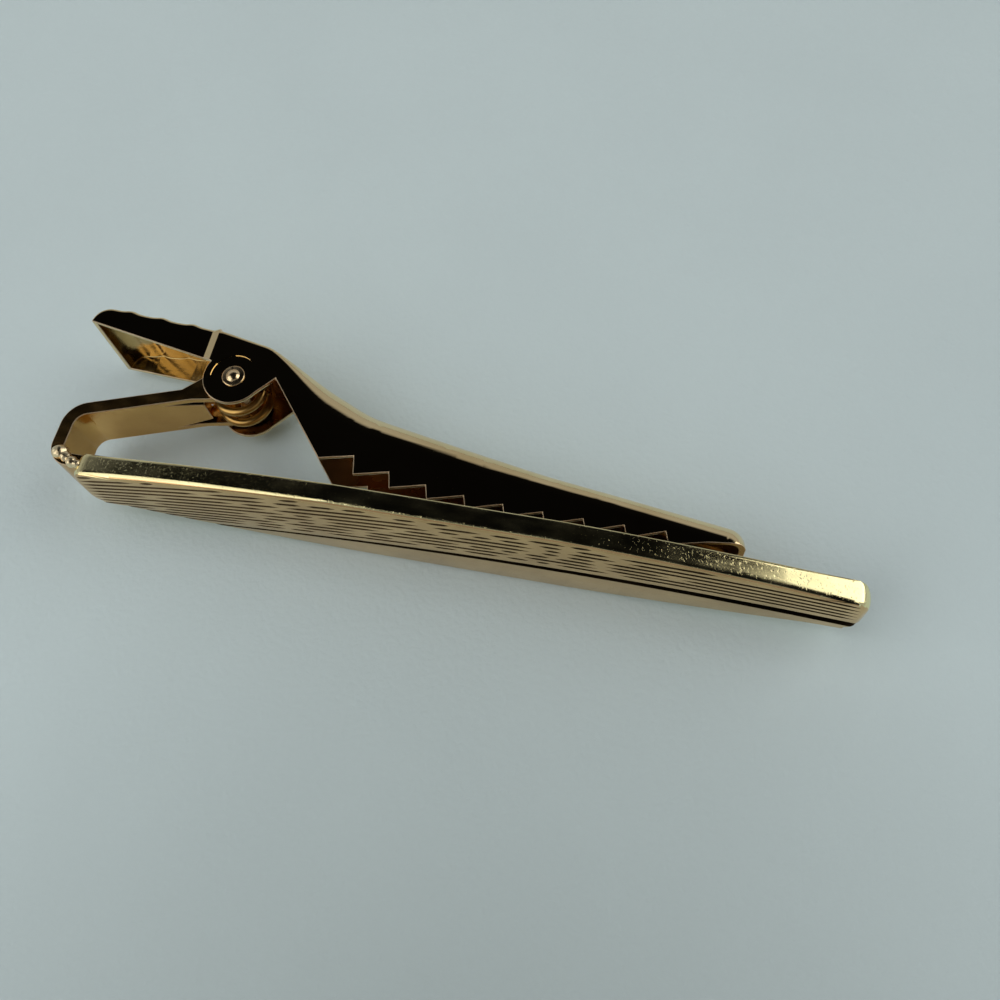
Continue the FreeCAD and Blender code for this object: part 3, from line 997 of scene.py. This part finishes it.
def set_world():
    """A dark ceiling over a pale surround that is dimmer towards the front."""
    world = bpy.data.worlds.new("room")
    bpy.context.scene.world = world
    world.use_nodes = True
    nodes = world.node_tree.nodes
    links = world.node_tree.links
    way = nodes.new("ShaderNodeTexCoord")
    split = nodes.new("ShaderNodeSeparateXYZ")
    blend = nodes.new("ShaderNodeValToRGB")
    stops = blend.color_ramp.elements
    stops[0].position = 0.0
    stops[0].color = room_below
    stops[1].position = 1.0
    stops[1].color = room_above
    for position, level in room_levels:
        stop = stops.new(position)
        stop.color = (level, level * room_green, level * room_blue, 1.0)
    links.new(way.outputs["Generated"], split.inputs["Vector"])
    links.new(split.outputs["Z"], blend.inputs["Fac"])
    toward = ramp(nodes, links, split.outputs["Y"], low=-0.8, high=0.6, low_value=0.85, high_value=0.95)
    shade = nodes.new("ShaderNodeMixRGB")
    shade.blend_type = "MULTIPLY"
    shade.inputs["Fac"].default_value = 1.0
    links.new(blend.outputs["Color"], shade.inputs["Color1"])
    links.new(toward, shade.inputs["Color2"])
    links.new(shade.outputs["Color"], nodes["Background"].inputs["Color"])
    nodes["Background"].inputs["Strength"].default_value = 1.0


def window(name, way, distance, side, power, colour):
    """A soft square pane that faces the clip."""
    bpy.ops.object.select_all(action="DESELECT")
    bpy.ops.object.light_add(type="AREA", location=Vector(way).normalized() * distance)
    pane = bpy.context.active_object
    pane.name = name
    pane.rotation_euler = Vector(way).to_track_quat("Z", "Y").to_euler()
    pane.data.shape = "RECTANGLE"
    pane.data.size = side
    pane.data.size_y = side
    pane.data.energy = power
    pane.data.color = colour
    return pane


# Camera, as fitted to the picture: place in millimetres, turn, and lens and film width
camera_place = (13.1744, -23.5764, 64.0679)
camera_turn = (0.9718785, 0.2089891, 0.0562357, 0.0928075)
camera_lens = 36.0
camera_film = 36.0
camera_nearest = 0.001


def set_camera():
    bpy.ops.object.select_all(action="DESELECT")
    bpy.ops.object.camera_add(location=Vector(camera_place) * mm)
    camera = bpy.context.active_object
    camera.rotation_mode = "QUATERNION"
    camera.rotation_quaternion = Quaternion(camera_turn)
    camera.data.sensor_width = camera_film
    camera.data.lens = camera_lens
    camera.data.clip_start = camera_nearest
    bpy.context.scene.camera = camera


bpy.ops.object.select_all(action="DESELECT")
set_floor()
set_world()
set_camera()
window("left_window", (-0.72, -0.42, 0.56), distance=0.55, side=0.52, power=1.0, colour=window_white)
ceiling = window("ceiling_panel", (-0.45, -0.12, 1.0), distance=0.6, side=0.6, power=1.36,
                 colour=ceiling_white)
ceiling.visible_glossy = False
window("right_window", (0.8, 0.36, 0.66), distance=0.6, side=0.5, power=1.25, colour=window_white)

bar = engraved_bar()
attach(bar, "frame")
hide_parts("front_bar")

strap = bent_strap()
# The strap's rounded edges take the pale painted highlight
soften_edges(strap, width=edge_round, segments=2, edge_finish=pale_edge_painted_highlight, shortest=0.002)
smooth(strap, degrees=35)
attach(strap, "frame")
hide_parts("return_strap")

solder = solder_lumps()
smooth(solder, degrees=40)
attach(solder, "frame")
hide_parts("solder_fillet")

jaw = pressed_jaw()
# The jaw's rounded edges take the pale painted highlight
soften_edges(jaw, width=edge_round, segments=2, edge_finish=pale_edge_painted_highlight, shortest=0.03)
sink_lobes(jaw)
smooth(jaw, degrees=35)
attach(jaw, "jaw")
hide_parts("jaw")

rivet = riveted_pin()
soften_edges(rivet, width=edge_round, segments=3, edge_finish=pin_gold, shortest=0.03)
smooth(rivet, degrees=35)
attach(rivet, "jaw")
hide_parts("hinge_rivet")

spring = node_copy("torsion_spring", "coil_spring", wire_gold)
smooth(spring, degrees=50)
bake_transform(spring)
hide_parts("torsion_spring")

bpy.context.scene.view_settings.view_transform = "Standard"
